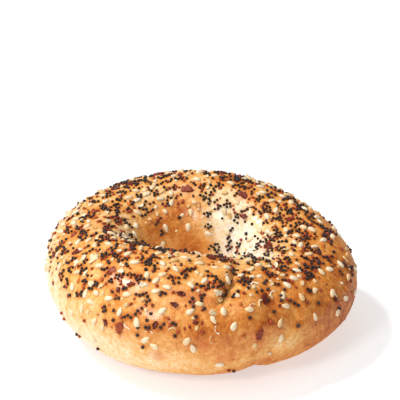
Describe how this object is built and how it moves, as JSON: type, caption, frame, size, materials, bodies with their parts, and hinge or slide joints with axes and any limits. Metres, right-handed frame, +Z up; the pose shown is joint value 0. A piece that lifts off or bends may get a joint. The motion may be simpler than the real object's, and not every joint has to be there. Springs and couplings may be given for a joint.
{
  "type": "everything bagel",
  "caption": "Round baked bagel lying flat, with a hole through it, a pressed seam in its golden crust, and seeds and onion flakes baked on.",
  "frame": {"origin": "middle of the bagel's box seen from above, on the surface that it lies on", "axes": "+Z up out of the crust, the hole runs along Z, the pressed seam is on the -Y side"},
  "size_m": [0.1114, 0.1113, 0.0427],
  "materials": {
    "crust": "baked crust, golden and slightly glossy",
    "sesame": "hulled sesame seed, cream",
    "poppy": "poppy seed, blue-black to red-brown",
    "onion": "toasted dried onion, red-brown to orange",
    "garlic": "dried garlic granule, pale yellow"
  },
  "bodies": {
    "root": {"bagel": "crust"}
  },
  "joints": []
}
